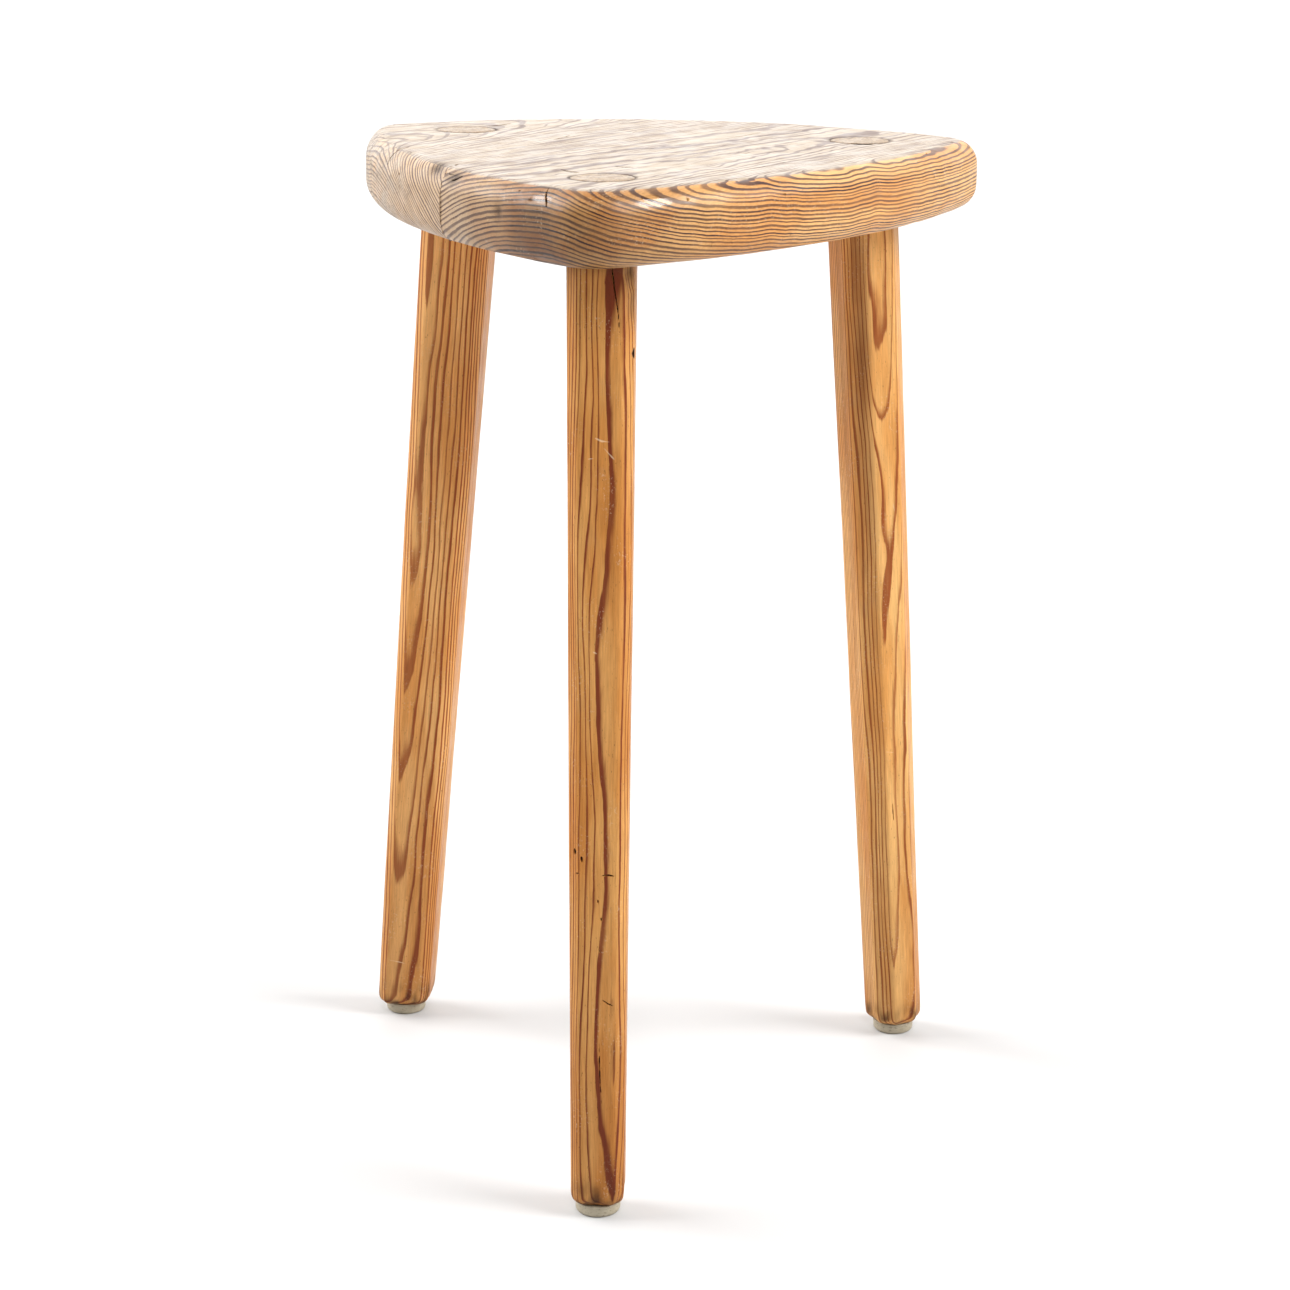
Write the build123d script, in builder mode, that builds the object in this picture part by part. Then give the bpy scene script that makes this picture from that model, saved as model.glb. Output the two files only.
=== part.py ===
from build123d import *
from collections import namedtuple
import math
import os

# Three-legged work stool in varnished pine, for milking or the kitchen.
# Two boards glued edge to edge make a rounded triangular seat. Three tapered legs, their
# arrises planed off, end in round tenons that come up through the seat and finish flush.
# Each foot stands on a plastic nail-on glide.
# Millimetres. +Z is up and the floor is Z = 0. The origin is under the middle of the stool,
# +Y is its back and +X is the right hand of a person who faces the back from the front.

# Overall
HEIGHT = 530.0
SEAT_THICKNESS = 38.0
SEAT_ROUND = 13.5  # radius of the seat's top and bottom edges
SEAT_UNDERSIDE = HEIGHT - SEAT_THICKNESS

# Seat outline. Each corner is a circle, and each side is a slack arc that runs on to the
# next corner and touches both circles from outside.
Corner = namedtuple("Corner", "x y radius side_radius")
LEFT_CORNER = Corner(-140.5, 110.0, 26.5, 386.0)
FRONT_CORNER = Corner(-35.5, -143.5, 26.0, 473.0)
RIGHT_CORNER = Corner(145.0, 72.0, 24.0, 254.0)
CORNERS = [LEFT_CORNER, FRONT_CORNER, RIGHT_CORNER]

# Glue line between the two boards: its direction from +X, and how far it passes from the origin
GLUE_LINE_ANGLE = 68.0
GLUE_LINE_OFFSET = 73.4

# Hidden dowels across the glue line
DOWEL_DIAMETER = 10.0
DOWEL_LENGTH = 60.0
DOWEL_END_ROOM = 1.0
DOWEL_SPACING = 130.0
DOWEL_MIDDLE = 16.0  # the middle of the pair, measured along the glue line

# Legs. flat is the planed-off corner as a share of the width, turn is about the vertical.
TENON_DIAMETER = 32.0
TENON_ROOT = 6.0  # how far the tenon's cylinder starts below the shoulder, inside the leg
FOOT_ROUND = 5.0
Leg = namedtuple("Leg", "name seat_x seat_y foot_x foot_y shoulder_width foot_width flat turn")
LEGS = [
    Leg("left", -111.0, 92.5, -152.5, 109.5, 39.6, 30.9, 0.155, -6.0),
    Leg("front", -32.6, -111.0, -31.0, -151.5, 34.2, 27.8, 0.170, -2.0),
    Leg("right", 103.4, 60.5, 141.7, 87.5, 35.9, 30.2, 0.256, 26.0),
]

# Nail-on glides
GLIDE_HEIGHT = 6.5
GLIDE_DIAMETER = 24.0
GLIDE_FLAT = 16.0  # diameter of the flat that meets the floor
GLIDE_RIM = 1.2  # upright edge under the leg, above the dome
NAIL_HEAD_DIAMETER = 8.0
NAIL_HEAD_THICKNESS = 1.2
NAIL_HEAD_HEIGHT = 2.4  # underside of the head above the floor
NAIL_DIAMETER = 2.4
NAIL_TIP_HEIGHT = 25.0
NAIL_POINT = 4.0

# Room between turned parts and their holes
GLUE_GAP = 0.1


def write(piece, label):
    """Name a finished piece and write it as its own file."""
    piece.part.label = label
    export_step(piece.part, f"parts/{label}.step")


def arc_between(start, end):
    """Middle and ends of the side arc that touches the circles of two corners."""
    reach_start = start.side_radius - start.radius
    reach_end = start.side_radius - end.radius
    first = Vector(start.x, start.y)
    second = Vector(end.x, end.y)
    apart = (second - first).length
    along = (reach_start**2 - reach_end**2 + apart**2) / (2 * apart)
    across = math.sqrt(reach_start**2 - along**2)
    forward = (second - first).normalized()
    inward = Vector(-forward.Y, forward.X)
    middle = first + forward * along + inward * across
    begins = middle + (first - middle).normalized() * start.side_radius
    finishes = middle + (second - middle).normalized() * start.side_radius
    crown = middle + ((begins + finishes) / 2 - middle).normalized() * start.side_radius
    return begins, crown, finishes


def on_axis(leg, height):
    """Point of a leg's centre line at a height."""
    share = height / HEIGHT
    x = leg.foot_x + (leg.seat_x - leg.foot_x) * share
    y = leg.foot_y + (leg.seat_y - leg.foot_y) * share
    return Vector(x, y, height)


def across_leg(leg, height):
    """Plane square to a leg's centre line at a height."""
    return Plane(origin=on_axis(leg, height), z_dir=on_axis(leg, HEIGHT) - on_axis(leg, 0))


def level_section(leg, height):
    """Level plane through a leg at a height, turned as the leg is."""
    turn = math.radians(leg.turn)
    return Plane(origin=on_axis(leg, height), x_dir=(math.cos(turn), math.sin(turn), 0))


def glue_plane():
    """Upright plane of the glue line, facing the narrow board."""
    angle = math.radians(GLUE_LINE_ANGLE)
    facing = Vector(-math.sin(angle), math.cos(angle), 0)
    return Plane(origin=facing * GLUE_LINE_OFFSET, z_dir=facing)


def dowel_plane(place):
    """Plane across a dowel at the glue line, place being its distance along that line."""
    angle = math.radians(GLUE_LINE_ANGLE)
    centre = glue_plane().origin + Vector(math.cos(angle), math.sin(angle), 0) * place
    centre += Vector(0, 0, HEIGHT - SEAT_THICKNESS / 2)
    return Plane(origin=centre, z_dir=glue_plane().z_dir)


DOWELS = {
    "seat_dowel_front": DOWEL_MIDDLE - DOWEL_SPACING / 2,
    "seat_dowel_back": DOWEL_MIDDLE + DOWEL_SPACING / 2,
}

os.makedirs("parts", exist_ok=True)

# Seat blank: the glued-up panel, rounded over, with a slanted mortise for each tenon
with BuildPart() as blank:
    with BuildSketch(Plane.XY.offset(SEAT_UNDERSIDE)):
        with BuildLine():
            for here, corner in enumerate(CORNERS):
                following = CORNERS[(here + 1) % len(CORNERS)]
                before = CORNERS[here - 1]
                arrives = arc_between(before, corner)[2]
                leaves, crown, ends = arc_between(corner, following)
                centre = Vector(corner.x, corner.y)
                nose = centre + ((arrives + leaves) / 2 - centre).normalized() * corner.radius
                ThreePointArc(arrives, nose, leaves)
                ThreePointArc(leaves, crown, ends)
        make_face()
    extrude(amount=SEAT_THICKNESS)
    fillet(blank.edges().group_by(Axis.Z)[-1], SEAT_ROUND)
    fillet(blank.edges().group_by(Axis.Z)[0], SEAT_ROUND)
    for leg in LEGS:
        with BuildSketch(across_leg(leg, HEIGHT - SEAT_THICKNESS / 2)):
            Circle(TENON_DIAMETER / 2 + GLUE_GAP)
        extrude(amount=SEAT_THICKNESS, both=True, mode=Mode.SUBTRACT)

# Seat boards: the blank either side of the glue line, bored for the dowels
for name, side in (("seat_board_wide", Keep.BOTTOM), ("seat_board_narrow", Keep.TOP)):
    with BuildPart() as board:
        add(blank.part)
        split(bisect_by=glue_plane(), keep=side)
        for place in DOWELS.values():
            with BuildSketch(dowel_plane(place)):
                Circle(DOWEL_DIAMETER / 2 + GLUE_GAP)
            depth = DOWEL_LENGTH / 2 + DOWEL_END_ROOM
            extrude(amount=depth, both=True, mode=Mode.SUBTRACT)
    write(board, name)

for name, place in DOWELS.items():
    with BuildPart() as dowel:
        with BuildSketch(dowel_plane(place)):
            Circle(DOWEL_DIAMETER / 2)
        extrude(amount=DOWEL_LENGTH / 2, both=True)
        chamfer(dowel.edges().filter_by(GeomType.CIRCLE), 1.0)
    write(dowel, name)

for leg in LEGS:
    foot = on_axis(leg, GLIDE_HEIGHT)

    # Nail: a flat head held inside the glide, and a pointed shank driven up the leg
    with BuildPart() as nail:
        with Locations((foot.X, foot.Y, NAIL_HEAD_HEIGHT)):
            Cylinder(
                NAIL_HEAD_DIAMETER / 2,
                NAIL_HEAD_THICKNESS,
                align=(Align.CENTER, Align.CENTER, Align.MIN),
            )
            Cylinder(
                NAIL_DIAMETER / 2,
                NAIL_TIP_HEIGHT - NAIL_POINT - NAIL_HEAD_HEIGHT,
                align=(Align.CENTER, Align.CENTER, Align.MIN),
            )
        with Locations((foot.X, foot.Y, NAIL_TIP_HEIGHT - NAIL_POINT)):
            Cone(
                NAIL_DIAMETER / 2,
                0.2,
                NAIL_POINT,
                align=(Align.CENTER, Align.CENTER, Align.MIN),
            )
    write(nail, f"glide_nail_{leg.name}")

    # Glide: a domed pad moulded round the nail's head
    with BuildPart() as glide:
        with BuildSketch(Plane(origin=(foot.X, foot.Y, 0), x_dir=(1, 0, 0), z_dir=(0, -1, 0))):
            with BuildLine():
                Line((0, 0), (GLIDE_FLAT / 2, 0))
                rim = (GLIDE_DIAMETER / 2, GLIDE_HEIGHT - GLIDE_RIM)
                TangentArc(rim, (GLIDE_FLAT / 2, 0), tangent=(0, -1), tangent_from_first=True)
                Line(rim, (GLIDE_DIAMETER / 2, GLIDE_HEIGHT))
                Line((GLIDE_DIAMETER / 2, GLIDE_HEIGHT), (0, GLIDE_HEIGHT))
                Line((0, GLIDE_HEIGHT), (0, 0))
            make_face()
        revolve(axis=Axis((foot.X, foot.Y, 0), (0, 0, 1)))
        add(nail.part, mode=Mode.SUBTRACT)
    write(glide, f"glide_{leg.name}")

    # Leg: a tapered square with its corners planed off, rounded over at the foot, and a
    # turned tenon above the shoulder that is cut flush with the top of the seat
    with BuildPart() as body:
        for height, width in (
            (GLIDE_HEIGHT, leg.foot_width),
            (SEAT_UNDERSIDE, leg.shoulder_width),
        ):
            with BuildSketch(level_section(leg, height)) as section:
                Rectangle(width, width)
                chamfer(section.vertices(), leg.flat * width)
        loft(ruled=True)
        fillet(body.edges().group_by(Axis.Z)[0], FOOT_ROUND)
        with BuildSketch(across_leg(leg, SEAT_UNDERSIDE - TENON_ROOT)):
            Circle(TENON_DIAMETER / 2)
        extrude(amount=SEAT_THICKNESS + 3 * TENON_ROOT)
        split(bisect_by=Plane.XY.offset(HEIGHT), keep=Keep.BOTTOM)
        add(nail.part, mode=Mode.SUBTRACT)
    write(body, f"leg_{leg.name}")
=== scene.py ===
from collections import namedtuple
import math

import bmesh
import bpy
import numpy as np
from mathutils import Matrix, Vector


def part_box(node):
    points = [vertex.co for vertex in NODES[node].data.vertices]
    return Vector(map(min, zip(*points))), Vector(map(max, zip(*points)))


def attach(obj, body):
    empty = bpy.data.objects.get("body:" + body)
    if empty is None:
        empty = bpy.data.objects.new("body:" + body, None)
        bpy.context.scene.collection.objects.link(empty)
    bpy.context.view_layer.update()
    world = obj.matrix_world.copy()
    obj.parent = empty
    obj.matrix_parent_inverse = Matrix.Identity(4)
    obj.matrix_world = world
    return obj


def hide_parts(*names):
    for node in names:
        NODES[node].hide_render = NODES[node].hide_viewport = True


# A three-legged work stool in old varnished pine. The CAD frame gives every place and size.
# The seat boards and legs are rebuilt as finer meshes, worn, cracked and softened at their
# edges, and each carries the growth rings of its own plank as attributes that its material
# reads. Meshes are worked out in millimetres and stored in metres.

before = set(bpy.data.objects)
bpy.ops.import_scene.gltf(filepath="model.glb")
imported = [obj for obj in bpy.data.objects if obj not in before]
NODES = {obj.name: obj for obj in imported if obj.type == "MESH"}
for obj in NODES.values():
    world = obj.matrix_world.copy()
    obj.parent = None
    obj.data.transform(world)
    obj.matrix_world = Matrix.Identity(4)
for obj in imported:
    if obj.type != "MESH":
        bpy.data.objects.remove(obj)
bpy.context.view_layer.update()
MM = 0.001
UP = np.array([0.0, 0.0, 1.0])

# How finely the pieces are cut, in millimetres
SEAT_CELL = 2.5
LEG_CELL = 2.0

SEAT_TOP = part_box("seat_board_wide")[1].z / MM
SEAT_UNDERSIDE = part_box("seat_board_wide")[0].z / MM
GLIDE_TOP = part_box("glide_front")[1].z / MM
TENON_RADIUS = 16.0
FOOT_ROUND = 5.0
NEAR = 0.01  # two heights this close are the same
FAR = 1e9


# ---------------- shapes and noise


def direction(degrees):
    """Level unit vector at an angle from +X."""
    return np.array([math.cos(math.radians(degrees)), math.sin(math.radians(degrees)), 0.0])


def ripple(points, size, seed, waves=14):
    """Smooth noise from -1 to 1, with bumps about size across. size is one number or three."""
    draw = np.random.default_rng(seed)
    ways = draw.normal(size=(waves, 3))
    ways /= np.linalg.norm(ways, axis=1, keepdims=True)
    ways *= draw.uniform(0.6, 1.5, (waves, 1)) * math.pi
    shifts = draw.uniform(0, 2 * math.pi, waves)
    total = np.sin(points / np.asarray(size) @ ways.T + shifts).sum(axis=1)
    return np.clip(total / (1.2 * math.sqrt(waves)), -1, 1)


def ease(value, low, high):
    """0 below low, 1 above high, smooth between. low may be the larger one."""
    share = np.clip((value - low) / (high - low), 0, 1)
    return share * share * (3 - 2 * share)


def bump(points, centre, size):
    """1 at centre, falling off like a bell over size, which is one number or three."""
    return np.exp(-np.sum(((points - np.asarray(centre)) / np.asarray(size)) ** 2, axis=1))


def smooth_curve(knots, softness):
    """Function through (place, value) knots with its corners eased over softness."""
    places, values = (np.array(column, float) for column in zip(*knots))
    fine = np.arange(places[0], places[-1], softness / 8)
    reach = np.arange(-24, 25)
    kernel = np.exp(-0.5 * (reach / 8) ** 2)
    padded = np.pad(np.interp(fine, places, values), 24, mode="reflect", reflect_type="odd")
    eased = np.convolve(padded, kernel / kernel.sum(), "valid")
    return lambda place: np.interp(place, fine, eased)


def mesh_points(mesh):
    """A mesh's vertices, in millimetres."""
    flat = np.empty(len(mesh.vertices) * 3)
    mesh.vertices.foreach_get("co", flat)
    return flat.reshape(-1, 3) / MM


def set_points(mesh, points):
    """Moves a mesh's vertices to points given in millimetres."""
    mesh.vertices.foreach_set("co", (points * MM).astype(np.float32).ravel())
    mesh.update()


def store(mesh, name, values):
    """Keeps one number or one vector for each vertex, for the material to read."""
    values = np.asarray(values, np.float32)
    kind, key = ("FLOAT", "value") if values.ndim == 1 else ("FLOAT_VECTOR", "vector")
    attribute = mesh.attributes.new(name, kind, "POINT")
    attribute.data.foreach_set(key, values.ravel())


def shade(mesh, sharp_angle=32):
    """Smooth shading, with edges sharper than an angle in degrees left sharp."""
    mesh.polygons.foreach_set("use_smooth", [True] * len(mesh.polygons))
    mesh.set_sharp_from_angle(angle=math.radians(sharp_angle))


def new_object(name, mesh):
    piece = bpy.data.objects.new(name, mesh)
    bpy.context.scene.collection.objects.link(piece)
    return piece


def finish_piece(piece, material, slot, *nodes):
    """Gives a piece its material and ties it to the frame in place of its CAD nodes."""
    piece.data.materials.clear()
    piece.data.materials.append(material)
    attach(piece, "root")
    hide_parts(*nodes)


# ---------------- cracks


# A crack runs along a path of points on a surface and opens inward. Sizes in millimetres.
Crack = namedtuple("Crack", "path inward width depth")
CRACK_REACH = 6.0  # how far in front of or behind its path a crack can still cut the surface
CRACK_RAGGED = 0.12  # how far a crack's edges wander
FINEST_EDGE = 0.4


def crack_profile(points, crack):
    """Distance of points from a crack's path as seen along its depth, and their place on it.

    The place runs from 0 to 1, and the distance is large for points far in front or behind.
    """
    inward = np.array(crack.inward, float)
    inward /= np.linalg.norm(inward)
    path = np.array(crack.path, float)
    nearest = np.full(len(points), FAR)
    place = np.zeros(len(points))
    lengths = np.linalg.norm(np.diff(path, axis=0), axis=1)
    begin = 0.0
    for start, end, length in zip(path, path[1:], lengths):
        way = end - start
        flat_way = way - inward * (way @ inward)
        from_start = points - start
        share = np.clip(from_start @ flat_way / (flat_way @ flat_way), 0, 1)
        apart = from_start - share[:, None] * way
        deep = apart @ inward
        sideways = np.linalg.norm(apart - deep[:, None] * inward, axis=1)
        sideways[np.abs(deep) > CRACK_REACH] = FAR
        closer = sideways < nearest
        nearest[closer] = sideways[closer]
        place[closer] = (begin + share[closer] * length) / lengths.sum()
        begin += length
    return nearest, place


def crack_groove(points, cracks):
    """How deep the cracks are at points of a surface."""
    deepest = np.zeros(len(points))
    for number, crack in enumerate(cracks):
        apart, place = crack_profile(points, crack)
        apart += CRACK_RAGGED * ripple(points, 2.5, 900 + number)
        swell = np.sqrt(np.sin(math.pi * np.clip(place, 0.01, 0.99)))
        half = crack.width / 2 * swell
        open_here = 1 - ease(apart, half * 0.1, half * 1.2)
        deepest = np.maximum(deepest, crack.depth * swell * open_here)
    return deepest


def refine_at_cracks(bm, cracks):
    """Splits the edges of bm near the cracks until they are fine enough to hold them."""
    for reach in (4.0, 2.5, 1.6, 1.2):
        edges = list(bm.edges)
        ends = np.array([[vertex.co for vertex in edge.verts] for edge in edges]) / MM
        middles = ends.mean(axis=1)
        lengths = np.linalg.norm(ends[:, 0] - ends[:, 1], axis=1)
        near = np.zeros(len(edges), bool)
        for crack in cracks:
            near |= crack_profile(middles, crack)[0] < reach + crack.width / 2
        chosen = [edges[number] for number in np.flatnonzero(near & (lengths > FINEST_EDGE))]
        bmesh.ops.subdivide_edges(bm, edges=chosen, cuts=1)
        many_sided = [face for face in bm.faces if len(face.verts) > 4]
        bmesh.ops.triangulate(bm, faces=many_sided)


# ---------------- legs as measured


# foot is where the centre line meets the floor, lean its way per millimetre of height, across
# and depth the leg's own level directions, and flat the planed-off corner as a share of width.
Leg = namedtuple("Leg", "name foot lean across depth foot_width shoulder_width flat")
LEG_TURNS = {"left": -6.0, "front": -2.0, "right": 26.0}


def measure_leg(name, turn):
    """A leg's centre line, directions and section, read from its CAD node."""
    points = mesh_points(NODES[f"leg_{name}"].data)
    low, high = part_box(f"glide_{name}")
    ankle = np.array([(low.x + high.x) / 2 / MM, (low.y + high.y) / 2 / MM, GLIDE_TOP])
    top = points[points[:, 2] > SEAT_TOP - NEAR]
    end = (top.min(axis=0) + top.max(axis=0)) / 2
    lean = (end - ankle) / (SEAT_TOP - GLIDE_TOP)
    foot = ankle - lean * GLIDE_TOP
    across = direction(turn)
    depth = direction(turn + 90)
    away = points - foot - np.outer(points[:, 2], lean)

    def section(chosen):
        """Height, width and planed-off corner of the body at the widest of some vertices."""
        level = away[chosen]
        widest = np.argmax(level @ across)
        height = points[chosen][widest, 2]
        width = 2 * (level @ across)[widest]
        edge = level[level @ across > width / 2 - 0.02]
        return height, width, width / 2 - np.abs(edge @ depth).max()

    shoulder, shoulder_width, corner = section(np.abs(points[:, 2] - SEAT_UNDERSIDE) < 0.05)
    low_height, low_width, _ = section(points[:, 2] < GLIDE_TOP + FOOT_ROUND + 1.5)
    taper = (shoulder_width - low_width) / (shoulder - low_height)
    foot_width = shoulder_width - taper * (SEAT_UNDERSIDE - GLIDE_TOP)
    flat = corner / shoulder_width
    return Leg(name, foot, lean, across, depth, foot_width, shoulder_width, flat)


LEGS = {name: measure_leg(name, turn) for name, turn in LEG_TURNS.items()}


def axis_distance(points, leg):
    """Distance of points from a leg's centre line."""
    way = leg.lean / np.linalg.norm(leg.lean)
    apart = points - leg.foot
    return np.linalg.norm(apart - np.outer(apart @ way, way), axis=1)


# ---------------- seat


GRAIN_ANGLE = 55.0
GLUE_LINE_ANGLE = 68.0
GRAIN = direction(GRAIN_ANGLE)
ACROSS = direction(GRAIN_ANGLE + 90)
GLUE_NORMAL = direction(GLUE_LINE_ANGLE + 90)
GLUE_OFFSET = (mesh_points(NODES["seat_board_wide"].data) @ GLUE_NORMAL).max()

# Growth rings, in millimetres across the grain. A curve says how far the rings dip below
# their highest point, and a ring lies where height + dip is constant.
WIDE_DIP = smooth_curve(
    [(-200, 31), (-125, 26.5), (-110, 25.0), (-100, 23.0), (-92, 20.0), (-84, 15.0), (-74, 9.5),
     (-64, 5.0), (-54, 2.0), (-45, 0.4), (-38, 0.0), (-20, 1.2), (0, 5.2), (20, 11.6), (45, 23.5),
     (80, 45), (200, 90)],
    softness=5.0,
)
NARROW_DIP = smooth_curve(
    [(-100, 96), (0, 38), (44, 0), (90, -39), (104, -49), (116, -55), (130, -59), (145, -61),
     (165, -60), (200, -52), (260, -40)],
    softness=5.0,
)
WIDE_RING = 2.9
WIDE_NARROWING = 0.0022  # how much denser the wide board's rings grow outward
NARROW_LOWEST = -60.0
NARROW_RING = 2.0  # at the lowest ring
NARROW_WIDENING = 0.0008  # how much wider the narrow board's rings get above the lowest


def uneven(turns, seed):
    """Makes evenly spaced rings uneven, as good and bad summers do, but keeps their order."""
    swing = 0.045
    draw = np.random.default_rng(seed)
    bent = turns.copy()
    for period in (3.1, 5.3, 11.0):
        bent += swing * period * np.sin(2 * math.pi * (turns / period + draw.uniform())) / 2
    return bent


def wide_rings(points):
    """Ring count at points of the wide board."""
    across, along, height = points @ ACROSS, points @ GRAIN, points[:, 2] - SEAT_UNDERSIDE
    edge = ease(across, -70, -95)
    waves = 0.6 * ripple(points, (34, 34, 60), 11) + 0.2 * ripple(points, (9, 9, 30), 12)
    lift = 1.2 * np.exp(-(((along + 61) / 11) ** 2)) + 1.1 * np.exp(-(((along - 22) / 12) ** 2))
    dip = WIDE_DIP(across) - edge * lift + 0.018 * along
    crest = height + dip + waves
    narrowing = WIDE_NARROWING * (1 - 0.75 * ease(across, -10, 35))
    return uneven(crest / WIDE_RING + narrowing * crest**2, 21)


def narrow_rings(points):
    """Ring count at points of the narrow board."""
    across, along, height = points @ ACROSS, points @ GRAIN, points[:, 2] - SEAT_UNDERSIDE
    waves = 0.7 * ripple(points, (24, 24, 60), 13) + 0.2 * ripple(points, (7, 7, 30), 14)
    dip = NARROW_DIP(across) + 0.1 * (along + 100)
    crest = height + dip + waves - NARROW_LOWEST
    return uneven(crest / NARROW_RING - NARROW_WIDENING * crest**2, 22)


Dent = namedtuple("Dent", "place size depth")
DIRTY_DENTS = 3  # the first few dents hold dirt
SEAT_DENTS = [
    Dent((-82.8, -129.6, 515), (2.6, 2.6, 3.4), 0.7),
    Dent((-107, -89, 526), (6, 5, 3), 0.9),
    Dent((-116, -68, 528), (4, 10, 3), 0.8),
    Dent((-14, -158, 510), (3, 3, 2), 0.4),
    Dent((104, 43.6, 530), (5, 2.0, 3), 0.8),
    Dent((20, -60, 530), (16, 9, 4), 0.35),
    Dent((-60, 20, 530), (22, 14, 4), 0.4),
    Dent((60, 40, 530), (18, 24, 4), 0.35),
    Dent((-20, 90, 530), (3, 5, 3), 0.5),
    Dent((40, -5, 530), (2.5, 4, 3), 0.45),
    Dent((-130, 60, 530), (4, 3, 3), 0.4),
    Dent((80, 130, 515), (4, 4, 3), 0.5),
    Dent((-40, 157, 512), (3, 4, 3), 0.5),
]

STRAIGHT_DOWN = (0, 0, -1)
SEAT_CRACKS = {
    "seat_board_wide": [
        Crack([(-57.5, -146, 529.5), (-58.6, -149.5, 527.4), (-58.4, -155, 523), (-58.8, -157, 521)],
              (0.5, 0.8, -0.25), 0.7, 3.5),
        Crack([(-108.2, -87.5, 525.2), (-105, -90.6, 526.6), (-101, -92.8, 528)],
              (0.75, 0.45, -0.5), 1.3, 3),
        Crack([(-53.5, -81, 530), (-50, -87, 530), (-44.4, -93, 530)], STRAIGHT_DOWN, 2.4, 4),
        Crack([(-27, -66, 530), (-22, -69.5, 530), (-17.5, -71.5, 530)], STRAIGHT_DOWN, 1.8, 3),
        Crack([(100.5, 44.0, 530), (104, 43.0, 530), (107.5, 43.6, 530)], STRAIGHT_DOWN, 2.8, 2.6),
        Crack([(40, -70, 530), (52, -55, 530), (62, -38, 530)], STRAIGHT_DOWN, 0.5, 2),
        Crack([(30, 60, 530), (44, 82, 530), (54, 100, 530)], STRAIGHT_DOWN, 0.5, 2),
        Crack([(60, 148, 527), (68, 143, 524), (76, 138, 519)], (-0.5, -0.8, -0.2), 0.6, 3),
    ],
    "seat_board_narrow": [
        Crack([(-100.5, 109.5, 530), (-94, 118, 530), (-88, 128, 530)], STRAIGHT_DOWN, 2.0, 5),
        Crack([(-145.5, -16, 520), (-146, -9.6, 523.4), (-144.5, -6.8, 526), (-141.5, -2.5, 528.8),
               (-136.5, 6, 530.2)], (0.85, 0.2, -0.5), 0.9, 3),
        Crack([(-62, 45, 530), (-56, 58, 530), (-53.5, 68, 530)], STRAIGHT_DOWN, 0.8, 2.5),
        Crack([(-159, 44, 524), (-160.5, 44.5, 517), (-161, 45, 511)], (0.95, -0.3, 0), 0.5, 3),
        Crack([(-164, 78, 523), (-166, 78.5, 516), (-166, 79, 510)], (1, 0, 0), 0.5, 3),
    ],
}


def sliced_copy(node, cell):
    """A CAD node's mesh, welded and cut by level and upright planes into cells."""
    weld = 0.002 * MM
    edge_strip = 0.8 * MM  # a narrow strip round the flat top keeps its rims crisp
    off_grid = 0.013  # keeps the planes clear of the mesh's own vertices
    bm = bmesh.new()
    bm.from_mesh(NODES[node].data)
    bmesh.ops.remove_doubles(bm, verts=bm.verts, dist=weld)
    top = [face for face in bm.faces if face.calc_center_median().z > (SEAT_TOP - NEAR) * MM]
    bmesh.ops.inset_region(bm, faces=top, thickness=edge_strip, use_even_offset=True)
    low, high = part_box(node)
    for axis in range(3):
        normal = [0.0, 0.0, 0.0]
        normal[axis] = 1.0
        step = cell * MM
        start = math.floor(low[axis] / step) + 1
        for number in range(start, math.ceil(high[axis] / step)):
            place = [0.0, 0.0, 0.0]
            place[axis] = (number + off_grid) * step
            geometry = list(bm.verts) + list(bm.edges) + list(bm.faces)
            bmesh.ops.bisect_plane(bm, geom=geometry, dist=1e-7, plane_co=place, plane_no=normal)
    refine_at_cracks(bm, SEAT_CRACKS[node])
    mesh = bpy.data.meshes.new(node)
    bm.to_mesh(mesh)
    bm.free()
    return mesh


BORE_DEPTH = 34.0  # the dowels' bores end nearer the glue line than this


def outer_normals(mesh, points):
    """Each vertex's normal from the seat's outer faces only, so the joints inside don't bend it."""
    count = len(mesh.polygons)
    normals = np.empty(count * 3)
    centres = np.empty(count * 3)
    areas = np.empty(count)
    mesh.polygons.foreach_get("normal", normals)
    mesh.polygons.foreach_get("center", centres)
    mesh.polygons.foreach_get("area", areas)
    normals = normals.reshape(-1, 3)
    centres = centres.reshape(-1, 3) / MM
    from_glue_line = np.abs(centres @ GLUE_NORMAL - GLUE_OFFSET)
    inner = from_glue_line < 2 * NEAR
    for leg in LEGS.values():
        in_mortise = axis_distance(centres, leg) < TENON_RADIUS + 0.3
        inner |= in_mortise & (np.abs(normals[:, 2]) < 0.9)
    mid_height = (centres[:, 2] > SEAT_UNDERSIDE + 5) & (centres[:, 2] < SEAT_TOP - 5)
    well_inside = np.hypot(centres[:, 0], centres[:, 1]) < 120
    inner |= mid_height & well_inside & (from_glue_line < BORE_DEPTH)
    weights = np.where(inner, 0.0, areas * 1e6)
    sizes = np.empty(count, int)
    mesh.polygons.foreach_get("loop_total", sizes)
    owner = np.repeat(np.arange(count), sizes)
    corners = np.empty(len(mesh.loops), int)
    mesh.loops.foreach_get("vertex_index", corners)
    total = np.zeros((len(points), 3))
    for axis in range(3):
        amounts = (normals[:, axis] * weights)[owner]
        total[:, axis] = np.bincount(corners, amounts, minlength=len(points))
    length = np.linalg.norm(total, axis=1, keepdims=True)
    return np.divide(total, length, out=np.zeros_like(total), where=length > 1e-12)


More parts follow.
